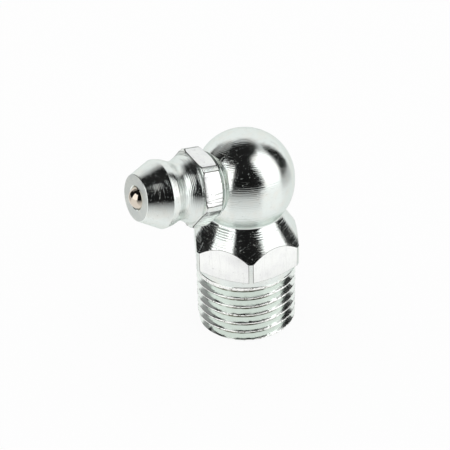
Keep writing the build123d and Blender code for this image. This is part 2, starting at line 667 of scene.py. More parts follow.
@dataclass(frozen=True)
class ZincPlate:
    """Bright zinc plate over turned steel, with rings left by the tool, nicks and scratches.

    Depths are in micrometres, the feed in millimetres.
    """

    name: str
    colour: tuple = (0.785, 0.83, 0.805)
    warm: tuple = (0.79, 0.81, 0.77)
    stain: tuple = (0.25, 0.26, 0.24)
    roughness: float = 0.15
    ring_feed: float = 0.19
    ring_depth: float = 4.0
    streak_depth: float = 8.0
    nick_depth: float = 14.0
    scratch_depth: float = 5.0

    def make(self) -> bpy.types.Material:
        """Make the material.

        Returns:
            The material, with all its nodes.
        """
        sheet = NodeSheet(self.name)
        turning = sheet.add("Attribute", {"attribute_name": "turning"}).outputs["Vector"]
        place = sheet.place()
        along = sheet.add("SeparateXYZ", Vector=turning).outputs[2]
        wander = sheet.noise(sheet.stretch(turning, (0.25, 0.25, 1.4)), 2.0)
        wander = sheet.math("MULTIPLY", wander, 7.0)
        turns = sheet.math("MULTIPLY_ADD", along, 2 * pi / self.ring_feed, wander)
        rings = sheet.math("MULTIPLY_ADD", sheet.math("SINE", turns), 0.5, 0.5)
        patches = sheet.noise(sheet.stretch(turning, (0.3, 0.3, 0.55), (3.7, 1.9, 0.4)), 2.0)
        rings = sheet.math("MULTIPLY", rings, sheet.ramp(patches, 0.32, 0.62, 0.35, 1.0))
        streaks = sheet.noise(sheet.stretch(turning, (0.4, 0.4, 11.0)), 2.5, 0.62)
        spots = sheet.noise(sheet.stretch(place, (6.5,) * 3), 3.0, 0.6)
        nicks = sheet.ramp(spots, 0.67, 0.72)
        where = sheet.noise(sheet.stretch(place, (1.7,) * 3, (5.1, 0.7, 2.3)), 1.0)
        scratches = sheet.math(
            "MULTIPLY",
            sheet.thin_lines(sheet.stretch(place, (0.3, 1.0, 0.55)), 0.012),
            sheet.ramp(where, 0.52, 0.58),
        )
        blemish = sheet.noise(sheet.stretch(place, (0.9,) * 3), 3.0, 0.6)
        normal = sheet.bump(rings, self.ring_depth)
        normal = sheet.bump(streaks, self.streak_depth, normal)
        normal = sheet.bump(nicks, self.nick_depth, normal)
        normal = sheet.bump(scratches, self.scratch_depth, normal)
        colour = sheet.tint(sheet.ramp(blemish, 0.4, 0.7), self.colour, self.warm)
        stained = sheet.math("MULTIPLY", sheet.ramp(spots, 0.27, 0.33, 1.0, 0.0), 0.6)
        shader = sheet.add(
            "BsdfPrincipled",
            Base_Color=sheet.tint(stained, colour, self.stain),
            Metallic=1.0,
            Roughness=sheet.math("MULTIPLY_ADD", blemish, 0.10, self.roughness - 0.05),
            Normal=normal,
            Specular_Tint=(*ZINC_EDGE, 1.0),
        )
        return sheet.finish(shader.outputs[0])


@dataclass(frozen=True)
class DrawnBar:
    """Zinc plate over the bar's own drawn flats, with lines along the bar and small nicks.

    Depths are in micrometres.
    """

    name: str
    colour: tuple = (0.85, 0.865, 0.85)
    cloudy: tuple = (0.81, 0.82, 0.82)
    stain: tuple = (0.30, 0.31, 0.29)
    roughness: float = 0.18
    tilt: float = 0.0  # degrees about Y that turn the bar's length to Z
    line_depth: float = 2.0
    nick_depth: float = 9.0
    line_stain: float = 0.3  # how dark the drawing lines are, from 0 to 1
    line_top: float = 99.0  # height where they end, in millimetres

    def make(self) -> bpy.types.Material:
        """Make the material.

        Returns:
            The material, with all its nodes.
        """
        sheet = NodeSheet(self.name)
        place = sheet.place()
        turned = sheet.add(
            "VectorRotate", {"rotation_type": "Y_AXIS"}, Vector=place, Angle=radians(self.tilt)
        )
        length = turned.outputs[0]
        lines = sheet.noise(sheet.stretch(length, (3.6, 3.6, 0.35)), 3.0, 0.65)
        lines = sheet.ramp(lines, 0.58, 0.68)
        spots = sheet.noise(sheet.stretch(place, (3.4,) * 3), 3.0, 0.62)
        nicks = sheet.ramp(spots, 0.66, 0.71)
        cloud = sheet.noise(sheet.stretch(place, (0.8,) * 3), 3.0, 0.6)
        normal = sheet.bump(lines, self.line_depth)
        normal = sheet.bump(nicks, self.nick_depth, normal)
        colour = sheet.tint(sheet.ramp(cloud, 0.4, 0.7), self.colour, self.cloudy)
        drawn = sheet.thin_lines(sheet.stretch(length, (1.5, 1.5, 0.16), (2.3, 0.4, 7.7)), 0.05)
        where = sheet.ramp(sheet.noise(sheet.stretch(length, (1.1, 1.1, 1.3)), 1.0), 0.30, 0.40)
        height = sheet.add("SeparateXYZ", Vector=place).outputs[2]
        below = sheet.ramp(height, self.line_top - 0.3, self.line_top, self.line_stain, 0.0)
        drawn = sheet.math("MULTIPLY", sheet.math("MULTIPLY", drawn, where), below)
        stained = sheet.math("MULTIPLY", sheet.ramp(spots, 0.25, 0.32, 1.0, 0.0), 0.5)
        stained = sheet.math("MAXIMUM", stained, drawn)
        shader = sheet.add(
            "BsdfPrincipled",
            Base_Color=sheet.tint(stained, colour, self.stain),
            Metallic=1.0,
            Roughness=sheet.math("MULTIPLY_ADD", cloud, 0.12, self.roughness - 0.06),
            Normal=normal,
            Specular_Tint=(*ZINC_EDGE, 1.0),
        )
        return sheet.finish(shader.outputs[0])


@dataclass(frozen=True)
class RolledThread:
    """Zinc plate on the thread, pitted on the crests, with the crests worn bright and lightened by a painted
    highlight, and the roots darkened brownish by painted shade.

    Radii are in millimetres, depths in micrometres.
    """

    name: str = "zinc_thread"
    colour: tuple = (0.82, 0.87, 0.83)
    # The crests' colour is lightened for wear and as a painted highlight; the roots' colour is a painted
    # shade.
    crest_worn_and_painted_light: tuple = (0.97, 0.97, 0.95)
    root_painted_shade: tuple = (0.13, 0.12, 0.08)
    pit_colour: tuple = (0.16, 0.15, 0.12)
    roughness: float = 0.14
    root_radius: float = 4.387
    crest_radius: float = 5.0
    streak_depth: float = 1.5
    pit_depth: float = 9.0

    def make(self) -> bpy.types.Material:
        """Make the material.

        Returns:
            The material, with all its nodes.
        """
        sheet = NodeSheet(self.name)
        place = sheet.place()
        radius = sheet.from_axis(place)
        cloud = sheet.noise(sheet.stretch(place, (1.2, 1.2, 2.5)), 3.0, 0.6)
        # Painted shade in the roots: they are darkened brownish, more in some places than in others.
        root = sheet.ramp(radius, self.root_radius + 0.085, self.root_radius + 0.02)
        root = sheet.math("MULTIPLY", root, sheet.ramp(cloud, 0.35, 0.6, 0.35, 1.0))
        streaks = sheet.noise(sheet.stretch(place, (1.6, 1.6, 9.0)), 3.0, 0.6)
        spots = sheet.noise(sheet.stretch(place, (5.2, 5.2, 7.0)), 3.0, 0.62)
        # The crests are lightened, for wear and as a painted highlight along them.
        crest = sheet.ramp(radius, self.crest_radius - 0.07, self.crest_radius - 0.02)
        pits = sheet.math("MULTIPLY", crest, sheet.ramp(spots, 0.56, 0.62))
        normal = sheet.bump(streaks, self.streak_depth)
        normal = sheet.bump(pits, self.pit_depth, normal)
        colour = sheet.tint(root, self.colour, self.root_painted_shade)
        colour = sheet.tint(crest, colour, self.crest_worn_and_painted_light)
        shader = sheet.add(
            "BsdfPrincipled",
            Base_Color=sheet.tint(pits, colour, self.pit_colour),
            Metallic=1.0,
            Roughness=sheet.math("MULTIPLY_ADD", cloud, 0.12, self.roughness - 0.06),
            Normal=normal,
            Specular_Tint=(*ZINC_EDGE, 1.0),
        )
        return sheet.finish(shader.outputs[0])


@dataclass(frozen=True)
class PolishedBall:
    """Hardened steel, ground and polished, with a warm straw tint."""

    name: str = "polished_ball"
    colour: tuple = (0.68, 0.61, 0.53)
    straw: tuple = (0.62, 0.55, 0.46)
    roughness: float = 0.05
    scuff_depth: float = 0.8  # micrometres

    def make(self) -> bpy.types.Material:
        """Make the material.

        Returns:
            The material, with all its nodes.
        """
        sheet = NodeSheet(self.name)
        place = sheet.place()
        cloud = sheet.noise(sheet.stretch(place, (1.4,) * 3), 2.0, 0.5)
        scuffs = sheet.ramp(sheet.noise(sheet.stretch(place, (9.0, 9.0, 2.0)), 2.0, 0.6), 0.6, 0.8)
        shader = sheet.add(
            "BsdfPrincipled",
            Base_Color=sheet.tint(cloud, self.colour, self.straw),
            Metallic=1.0,
            Roughness=sheet.math("MULTIPLY_ADD", cloud, 0.05, self.roughness - 0.02),
            Normal=sheet.bump(scuffs, self.scuff_depth),
        )
        return sheet.finish(shader.outputs[0])


@dataclass(frozen=True)
class SpringWire:
    """Bare drawn spring wire, with faint die lines."""

    name: str = "spring_wire"
    colour: tuple = (0.50, 0.50, 0.51)
    dull: tuple = (0.38, 0.37, 0.36)
    roughness: float = 0.28
    line_depth: float = 2.0  # micrometres

    def make(self) -> bpy.types.Material:
        """Make the material.

        Returns:
            The material, with all its nodes.
        """
        sheet = NodeSheet(self.name)
        place = sheet.place()
        cloud = sheet.noise(sheet.stretch(place, (3.0,) * 3), 3.0, 0.6)
        lines = sheet.noise(sheet.stretch(place, (18.0, 2.0, 18.0)), 2.0, 0.6)
        shader = sheet.add(
            "BsdfPrincipled",
            Base_Color=sheet.tint(cloud, self.colour, self.dull),
            Metallic=1.0,
            Roughness=sheet.math("MULTIPLY_ADD", cloud, 0.15, self.roughness - 0.05),
            Normal=sheet.bump(lines, self.line_depth),
        )
        return sheet.finish(shader.outputs[0])


ZINC = {
    Shade.BALL: ZincPlate("zinc_ball", roughness=0.13, ring_depth=4.0, streak_depth=14.0),
    Shade.CONE: ZincPlate("zinc_cone", roughness=0.13, ring_feed=0.24, ring_depth=9.0, streak_depth=12.0),
    Shade.COUPLER: ZincPlate(
        "zinc_coupler", ring_feed=0.15, ring_depth=8.0, streak_depth=15.0, nick_depth=32.0
    ),
    Shade.WAIST: ZincPlate("zinc_waist", roughness=0.2, ring_feed=0.17, ring_depth=11.0, streak_depth=16.0),
    Shade.BAR: DrawnBar(
        "zinc_bar", colour=(0.92, 0.93, 0.91), cloudy=(0.88, 0.885, 0.88), line_depth=0.5, line_stain=0.05
    ),
    Shade.NUT: DrawnBar("zinc_nut", tilt=82.0, nick_depth=12.0, line_stain=0.85, line_top=18.5),
    Shade.THREAD: RolledThread(),
    Shade.FACE: ZincPlate("zinc_face", colour=(0.70, 0.73, 0.71), roughness=0.34, ring_depth=1.0),
    # The bevelled edges are painted dark, a painted reflection of the black round the part.
    Shade.EDGE: ZincPlate("zinc_edge_painted_dark", colour=(0.20, 0.20, 0.19), warm=(0.10, 0.10, 0.09), roughness=0.4),
}


def zinc_finishes() -> list[bpy.types.Material]:
    """The zinc finishes in the order of Shade."""
    return [ZINC[shade].make() for shade in Shade]


def dress(piece: bpy.types.Object, materials: list[bpy.types.Material]) -> None:
    """Put materials in a piece's slots, in order, and keep each face's slot number.

    Args:
        piece: The piece.
        materials: Its materials. A face numbered past the last one gets the last one.
    """
    faces = piece.data.polygons
    slots = np.zeros(len(faces), dtype=np.int32)
    faces.foreach_get("material_index", slots)
    piece.data.materials.clear()
    for material in materials:
        piece.data.materials.append(material)
    faces.foreach_set("material_index", np.minimum(slots, len(materials) - 1))


# --------------------------------------------------------------------------- the elbow body


@dataclass
class ThreadedShank:
    """The right-hand M10 x 1 thread, with its rolled crests and run-out, in millimetres."""

    radius: float = 5.0
    pitch: float = 1.0
    depth: float = 0.6134
    half_root: float = 0.0833
    half_crest: float = 0.0625
    crest_rounding: float = 0.07
    root_rounding: float = 0.06
    front_direction: float = -123.0  # degrees about Z, where first_groove is measured
    first_groove: float = 0.709
    fade_start: float = 5.95  # groove height where the run-out starts
    fade_end: float = 6.6
    top: float = 6.4375
    end_chamfer: float = 0.2
    crest_band: float = 0.12  # depth below the crests that the rolling leaves rough
    crest_roughness: float = 0.035
    plain_top: float = 0.2  # smooth stretch at the top
    turns_below: float = 2.5  # wound below the end face, and trimmed off
    turns: int = 10
    steps: int = 288

    def groove_shift(self) -> float:
        """Height of a groove's middle at 0 degrees about Z, less whole pitches."""
        return (self.first_groove - self.front_direction / 360 * self.pitch) % self.pitch

    def one_pitch(self, bottom: float) -> list[Point]:
        """Outline of one groove, from the middle of a crest to the middle of the next.

        Args:
            bottom: Height of the first crest's middle.

        Returns:
            The outline, with its roundings.
        """
        middle = bottom + self.pitch / 2
        root = self.radius - self.depth
        half = self.pitch / 2 - self.half_crest
        corners = [
            (self.radius, bottom),
            (self.radius, middle - half),
            (root, middle - self.half_root),
            (root, middle + self.half_root),
            (self.radius, middle + half),
            (self.radius, bottom + self.pitch),
        ]
        rounds = {1: self.crest_rounding, 2: self.root_rounding}
        rounds |= {3: self.root_rounding, 4: self.crest_rounding}
        return rounded(corners, rounds, steps=3)

    def build(self) -> bpy.types.Object:
        """Screw one groove up the axis, then trim, fade and chamfer it.

        Returns:
            The thread, open at its two ends.
        """
        bottom = self.groove_shift() - self.turns_below * self.pitch
        thread = draw_wire("thread", self.one_pitch(bottom))
        work_on(thread)
        screw = thread.modifiers.new("screw", "SCREW")
        screw.axis = "Z"
        screw.angle = 2 * pi
        screw.screw_offset = self.pitch * MM
        screw.steps = screw.render_steps = self.steps
        screw.iterations = self.turns
        screw.use_merge_vertices = False
        bpy.ops.object.modifier_apply(modifier=screw.name)
        edit(thread)
        weld_and_face_out()
        bpy.ops.mesh.select_all(action="SELECT")
        bpy.ops.mesh.bisect(
            plane_co=(0, 0, self.top * MM), plane_no=(0, 0, 1), clear_outer=True, threshold=WELD
        )
        bpy.ops.mesh.select_all(action="SELECT")
        bpy.ops.mesh.bisect(plane_co=(0, 0, 0), plane_no=(0, 0, 1), clear_inner=True, threshold=WELD)
        leave_edit()
        move_vertices(thread, self.roll)
        return thread

    def roll(self, places: np.ndarray) -> np.ndarray:
        """Fade the groove out at its top, roughen the crests and chamfer the end.

        Args:
            places: Places of the vertices, one row each.

        Returns:
            Their new places.
        """
        x, y, z = places.T
        radius = np.hypot(x, y)
        turn = np.arctan2(y, x) / (2 * pi)
        above = z - self.groove_shift() - turn * self.pitch
        groove = z - (above - np.round(above / self.pitch) * self.pitch)
        share = np.clip((groove - self.fade_start) / (self.fade_end - self.fade_start), 0, 1)
        kept = 1 - share * share * (3 - 2 * share)
        grown = self.radius - (self.radius - radius) * kept
        near_crest = np.clip((radius - self.radius + self.crest_band) / self.crest_band, 0, 1)
        rough = np.array([noise.noise(Vector(p) * 2.3) + 0.6 * noise.noise(Vector(p) * 6.1) for p in places])
        pressed = near_crest * np.clip(rough * self.crest_roughness, 0, None)
        grown -= pressed * (z < self.top - self.plain_top)
        cone = self.radius - self.end_chamfer + z
        grown = np.minimum(grown, cone)
        factor = grown / radius
        return np.column_stack([x * factor, y * factor, z])


@dataclass
class ElbowBody:
    """Thread, spanner hexagon, shoulder cone, neck and ball, all one turned piece.

    Sizes are in millimetres, heights up the thread axis from the shank's end, and stations along
    the coupler head's axis from the thread axis. Angles are in degrees.
    """

    collar_radius: float = 4.95
    collar_top: float = 7.1375
    flats: float = 10.0
    corner_radius: float = 5.65
    hexagon_bottom: float = 7.449
    hexagon_top: float = 9.499
    shoulder_angle: float = 33.6
    cone_feed: float = 0.24  # of the tool that leaves rings on the cone
    cone_rings: tuple = (0.002, 0.006)  # half the rings' height, at the cone's foot and at its top
    neck_fillet: float = 0.3
    ball_radius: float = 4.85
    ball_height: float = 15.589  # middle of the ball's lower half
    ball_land: float = 0.4  # stretch between the ball's two halves
    ball_land_rise: float = 0.004
    ball_flat_radius: float = 0.89
    hexagon_turn: float = 2.0  # of a corner about the thread axis, from under the coupler head
    bore_radius: float = 1.75
    bore_chamfer: float = 0.3
    drill_point_angle: float = 118.0
    head_height: float = 15.909
    head_tilt: float = 8.0
    spot_face_station: float = 4.3
    socket_radius: float = 2.1
    socket_floor_station: float = 1.4
    edge_softening: float = 0.025
    smooth_angle: float = 25.0  # edges sharper than this stay sharp to the eye
    neck_steps: int = 16
    lower_ball_steps: int = 32
    upper_ball_steps: int = 60
    steps: int = 288
    thread: ThreadedShank = field(default_factory=ThreadedShank)

    def neck_arc(self) -> tuple[Point, float, float]:
        """Work out the neck's fillet, which touches the cone and the ball.

        Returns:
            The fillet's centre, and its first and last angle.
        """
        angle = radians(self.shoulder_angle)
        normal = (cos(angle), sin(angle))
        along_normal = self.corner_radius * normal[0] + self.hexagon_top * normal[1] + self.neck_fillet
        # The centre is where the cone's line, moved out by the fillet, meets the ball's circle
        # grown by the fillet.
        reach = self.ball_radius + self.neck_fillet
        distance = along_normal - self.ball_height * normal[1]
        sideways = sqrt(reach**2 - distance**2)
        centre = (
            distance * normal[0] + sideways * normal[1],
            self.ball_height + distance * normal[1] - sideways * normal[0],
        )
        start = degrees(atan2(-normal[1], -normal[0])) % 360
        end = degrees(atan2(self.ball_height - centre[1], -centre[0])) % 360
        return centre, start, end

    def neck_height(self) -> float:
        """Height of the middle of the neck's fillet."""
        return self.neck_arc()[0][1]

    def flats_cut(self) -> SpannerFlats:
        """The six flats of the hexagon."""
        return SpannerFlats(
            self.flats / 2, 180 / HEXAGON + self.hexagon_turn, self.thread.top, self.neck_height()
        )

    def outer_outline(self) -> list[Point]:
        """Draw the outline from the top of the thread to the top of the ball.

        Returns:
            The outline, from its foot up.
        """
        centre, start, end = self.neck_arc()
        neck = arc(centre, self.neck_fillet, start, end, self.neck_steps)
        slope = Vector((sin(radians(self.shoulder_angle)), -cos(radians(self.shoulder_angle))))
        held = Vector(neck[0]) + slope * 2 * HOLD
        cone = ((self.corner_radius, self.hexagon_top), tuple(held))
        upper_middle = self.ball_height + self.ball_land
        ball_start = degrees(atan2(neck[-1][1] - self.ball_height, neck[-1][0]))
        ball_end = degrees(acos(self.ball_flat_radius / self.ball_radius))
        flat_height = upper_middle + sqrt(self.ball_radius**2 - self.ball_flat_radius**2)
        return [
            (self.collar_radius, self.thread.top),
            (self.collar_radius, self.collar_top),
            (self.corner_radius, self.hexagon_bottom),
            cone[0],
            *tool_rings(*cone, self.cone_feed, self.cone_rings),
            cone[1],
            *neck,
            *arc((0.0, self.ball_height), self.ball_radius, ball_start, 0.0, self.lower_ball_steps)[1:],
            (self.ball_radius + self.ball_land_rise, self.ball_height + self.ball_land / 2),
            *arc((0.0, upper_middle), self.ball_radius, 0.0, ball_end, self.upper_ball_steps),
            (self.ball_flat_radius / 2, flat_height),
            (0.0, flat_height),
        ]

    def bore_outline(self) -> list[Point]:
        """Draw the outline of the grease drilling, from its mouth to its drill point.

        Returns:
            The outline, from its foot up.
        """
        tip = self.bore_radius / tan(radians(self.drill_point_angle / 2))
        return [
            (self.bore_radius + self.bore_chamfer, 0.0),
            (self.bore_radius, self.bore_chamfer),
            (self.bore_radius, self.head_height),
            (0.0, self.head_height + tip),
        ]

    def head_matrix(self) -> Matrix:
        """Place the coupler head, and whatever else lies on its axis.

        Returns:
            The matrix from a frame with Z along the head's axis to the part's frame.
        """
        tilt = radians(self.head_tilt)
        axis = Vector((-cos(tilt), 0, sin(tilt)))
        up = Vector((sin(tilt), 0, cos(tilt)))
        side = axis.cross(up)
        turned = Matrix((up, side, axis)).transposed().to_4x4()
        turned.translation = Vector((0, 0, self.head_height * MM))
        return turned

    def drill(self, body: bpy.types.Object, radius: float, station: float) -> None:
        """Cut a flat-bottomed round hole into the body along the coupler head's axis.

        Args:
            body: The body.
            radius: The hole's radius, in millimetres.
            station: Where the hole's floor is on the axis, in millimetres.
        """
        depth = 2 * self.ball_radius
        deselect_all()
        bpy.ops.mesh.primitive_cylinder_add(
            vertices=self.steps // 2, radius=radius * MM, depth=depth * MM,
            location=(0, 0, (station + depth / 2) * MM),
        )
        cutter = bpy.context.object
        bpy.ops.object.transform_apply(location=True)
        cutter.data.transform(self.head_matrix())
        subtract(body, cutter)

    def close_ends(self, body: bpy.types.Object) -> None:
        """Fill the flat rings at the thread's two ends, to the bore's mouth and to the collar.

        Args:
            body: The body, in object mode.
        """
        top = self.thread.top * MM
        for low, high in ((-WELD, WELD), (top - WELD, top + WELD)):
            select_edges(body, lambda a, b: low < a.z < high and low < b.z < high)
            edit(body, "EDGE")
            bpy.ops.mesh.fill()
            leave_edit()

    def build(self) -> bpy.types.Object:
        """Build the whole elbow as one closed mesh.

        Returns:
            The body, with its finishes numbered by Shade.
        """
        flats = self.flats_cut()
        body = draw_wire("elbow_zinc", self.outer_outline())
        join(body, draw_wire("bore", self.bore_outline()))
        turn_on_lathe(body, self.steps)
        flats.cut(body)
        join(body, self.thread.build())
        self.close_ends(body)
        edit(body)
        weld_and_face_out()
        leave_edit()
        self.drill(body, self.ball_radius, self.spot_face_station)
        self.drill(body, self.socket_radius, self.socket_floor_station)
        soften_edges(body, flats.bound, self.edge_softening)
        finish_shading(body, self.smooth_angle)
        shank = [(self.thread.radius, 0.0), (self.thread.radius, self.thread.top)]
        Lathe([*shank, *self.outer_outline()]).mark(body)
        shade_zones(body, self.zone)
        return body

    def zone(self, centre: Vector, normal: Vector) -> Shade:
        """Tell which finish a face of the body has.

        Args:
            centre: The face's centre.
            normal: The face's normal.

        Returns:
            The finish.
        """
        if centre.z < self.thread.top * MM:
            return Shade.THREAD
        if centre.z > self.neck_height() * MM:
            return Shade.BALL
        if centre.z > self.collar_top * MM and self.flats_cut().faced_by(normal):
            return Shade.BAR
        return Shade.CONE


@dataclass
class CouplerHead:
    """The pressed-in head: spigot, flange, small hexagon, waist, grip, nose and orifice.

    Sizes are in millimetres, stations and lengths along the head's axis, and angles in degrees.
    """

    spigot_end: float = 1.6
    spigot_radius: float = 2.11
    spigot_chamfer: float = 0.15
    seat_on_ball: float = 4.3
    flange_radius: float = 3.3
    flange_length: float = 0.12
    flange_edge: float = 0.04
    relief_radius: float = 3.0
    relief_length: float = 0.18
    nut_flats: float = 6.76
    nut_corner_radius: float = 3.76
    nut_length: float = 2.0
    nut_back_radius: float = 3.3
    nut_back_angle: float = 57.0  # of the turned chamfer behind
    nut_front_chamfer: float = 0.16
    nut_turn: float = -21.0  # of a corner about the head's axis, from straight up
    waist_start_radius: float = 3.32
    waist_rear_angle: float = 25.8
    waist_length: float = 1.3
    waist_front_angle: float = 21.2
    waist_fillet: float = 1.4
    flare_feed: float = 0.18  # of the tool that leaves rings on the waist's rear cone
    flare_rings: tuple = (0.011, 0.009)  # half the rings' height, at the nut and at the waist
    grip_radius: float = 3.25
    grip_land: float = 0.15
    grip_back_length: float = 0.56
    grip_back_radius: float = 3.16
    grip_back_fillet: float = 0.8
    grip_edge: float = 0.07
    nose_length: float = 2.15
    nose_radius: float = 2.2
    nose_edge: float = 0.1
    orifice_radius: float = 1.08
    orifice_edge: float = 0.1
    ball_radius: float = 1.14
    ball_proud: float = 0.61
    seat_angle: float = 15.0
    seat_clearance: float = 0.01
    chamber_radius: float = 1.35
    rolled_lip: float = 0.4
    rolled_lip_radius: float = 0.7
    edge_softening: float = 0.065
    smooth_angle: float = 35.0  # edges sharper than this stay sharp to the eye
    skin: float = 0.02  # margin within which a face belongs to the front or to a flat
    steps: int = 288

    def stations(self) -> dict[str, float]:
        """Work out where the head's parts lie along its axis.

        Returns:
            The stations by name, and the waist's smallest radius before its fillet.
        """
        relief = self.seat_on_ball + self.flange_length
        nut_back = relief + self.relief_length
        nut_front = nut_back + self.nut_length
        waist = nut_front + self.waist_length
        waist_radius = self.waist_start_radius - self.waist_length * tan(radians(self.waist_rear_angle))
        grip_back = waist + (self.grip_back_radius - waist_radius) / tan(radians(self.waist_front_angle))
        land = grip_back + self.grip_back_length
        edge = land + self.grip_land
        face = edge + self.nose_length
        ball = face + self.ball_proud - self.ball_radius
        return {
            "relief": relief, "nut_back": nut_back, "nut_front": nut_front, "waist": waist,
            "waist_radius": waist_radius, "grip_back": grip_back, "land": land, "edge": edge,
            "face": face, "ball": ball,
        }

    def outer_outline(self) -> list[Point]:
        """Draw the outline from the spigot's end to the rim of the front face.

        Returns:
            The outline, with its fillets and the tool's rings.
        """
        at = self.stations()
        back_rise = (self.nut_corner_radius - self.nut_back_radius) / tan(radians(self.nut_back_angle))
        behind = [
            (self.spigot_radius - self.spigot_chamfer, self.spigot_end),
            (self.spigot_radius, self.spigot_end + self.spigot_chamfer),
            (self.spigot_radius, self.seat_on_ball),
            (self.flange_radius - self.flange_edge, self.seat_on_ball),
            (self.flange_radius, self.seat_on_ball + self.flange_edge),
            (self.flange_radius, at["relief"] - self.flange_edge),
            (self.flange_radius - self.flange_edge, at["relief"]),
            (self.relief_radius, at["relief"]),
            (self.relief_radius, at["nut_back"]),
            (self.nut_back_radius, at["nut_back"]),
            (self.nut_corner_radius, at["nut_back"] + back_rise),
            (self.nut_corner_radius, at["nut_front"] - self.nut_front_chamfer),
            (self.nut_corner_radius - self.nut_front_chamfer, at["nut_front"]),
        ]
        before = [
            (self.waist_start_radius, at["nut_front"]),
            (at["waist_radius"], at["waist"]),
            (self.grip_back_radius, at["grip_back"]),
            (self.grip_radius, at["land"]),
            (self.grip_radius, at["edge"]),
            (self.nose_radius, at["face"]),
            (self.orifice_radius + self.orifice_edge, at["face"]),
        ]
        fillets = {1: self.waist_fillet, 2: self.grip_back_fillet, 4: self.grip_edge, 5: self.nose_edge}
        flare, *ahead = rounded(before, fillets, steps=8)
        return [*behind, flare, *tool_rings(flare, ahead[0], self.flare_feed, self.flare_rings), *ahead]

    def bore_outline(self) -> list[Point]:
        """Draw the outline of the orifice, seat and ball chamber, from the front face to the back.

        Returns:
            The outline, which ends where the outer one starts.
        """
        at = self.stations()
        angle = radians(self.seat_angle)
        reach = self.ball_radius + self.seat_clearance
        touch_radius = reach * cos(angle)
        touch = at["ball"] + reach * sin(angle)
        seat_front = touch + (touch_radius - self.orifice_radius) / tan(angle)
        seat_back = touch - (self.chamber_radius - touch_radius) / tan(angle)
        lip = self.spigot_end + self.rolled_lip
        return [
            (self.orifice_radius + self.orifice_edge, at["face"]),
            (self.orifice_radius, at["face"] - self.orifice_edge),
            (self.orifice_radius, seat_front),
            (self.chamber_radius, seat_back),
            (self.chamber_radius, lip),
            (self.rolled_lip_radius, lip),
            (self.rolled_lip_radius, self.spigot_end),
            (self.spigot_radius - self.spigot_chamfer, self.spigot_end),
        ]

    def build(self, place: Matrix) -> bpy.types.Object:
        """Build the head along Z, then put it in its place.

        Args:
            place: From the head's own frame to the part's frame.

        Returns:
            The head, with its finishes numbered by Shade.
        """
        at = self.stations()
        flats = SpannerFlats(
            self.nut_flats / 2,
            180 / HEXAGON - self.nut_turn,
            at["relief"] + self.flange_edge,
            at["nut_front"] + self.skin / 2,
        )
        head = draw_wire("coupler_head_zinc", [*self.outer_outline(), *self.bore_outline()[1:]])
        turn_on_lathe(head, self.steps)
        flats.cut(head)
        edit(head)
        weld_and_face_out()
        leave_edit()
        soften_edges(head, flats.bound, self.edge_softening)
        finish_shading(head, self.smooth_angle)
        Lathe(self.outer_outline()).mark(head)
        shade_zones(head, self.zone)
        head.data.transform(place)
        return head

    def zone(self, centre: Vector, normal: Vector) -> Shade:
        """Tell which finish a face of the head has, in the head's own frame.

        Args:
            centre: The face's centre.
            normal: The face's normal.

        Returns:
            The finish.
        """
        at = self.stations()
        radius = hypot(centre.x, centre.y) / MM
        height = centre.z / MM
        if normal.z > 0.9 and height > at["face"] - self.skin:
            return Shade.FACE
        on_nut = at["nut_back"] < height < at["nut_front"]
        if on_nut and abs(normal.z) < 0.01 and radius < self.nut_corner_radius - self.skin:
            return Shade.NUT
        if at["nut_front"] < height < at["grip_back"]:
            return Shade.WAIST
        return Shade.COUPLER


@dataclass
class CheckBall:
    """The polished ball, with the narrow band worn by its seat."""

    radius: float = 1.14
    band_angle: float = 15.0  # of the seat's circle, above the ball's middle
    band_width: float = 3.0  # degrees
    band_depth: float = 0.003
    cuts: int = 47  # of the cube's edges, before it is rounded
    smooth_angle: float = 40.0

    def build(self, place: Matrix, station: float) -> bpy.types.Object:
        """Build the ball from a cube brought to a sphere, and put it on the head's axis.

        Args:
            place: From the head's own frame to the part's frame.
            station: Where the ball's middle lies on the head's axis, in millimetres.

        Returns:
            The ball.
        """
        deselect_all()
        bpy.ops.mesh.primitive_cube_add(size=2 * self.radius * MM)
        ball = bpy.context.object
        ball.name = "check_ball_polished"
        edit(ball)
        bpy.ops.mesh.select_all(action="SELECT")
        bpy.ops.mesh.subdivide(number_cuts=self.cuts)
        leave_edit()
        move_vertices(ball, self.grind)
        finish_shading(ball, self.smooth_angle)
        ball.data.transform(Matrix.Translation((0, 0, station * MM)))
        ball.data.transform(place)
        return ball

    def grind(self, places: np.ndarray) -> np.ndarray:
        """Bring each point to the sphere, and press in the seat's band.

        Args:
            places: Places of the cube's points, one row each, in millimetres.

        Returns:
            Their places on the ball.
        """
        even = np.tan(places / self.radius * (pi / 4))
        even /= np.linalg.norm(even, axis=1)[:, None]
        height = np.degrees(np.arcsin(even[:, 2]))
        band = np.exp(-(((height - self.band_angle) / self.band_width) ** 2))
        return even * (self.radius - self.band_depth * band)[:, None]


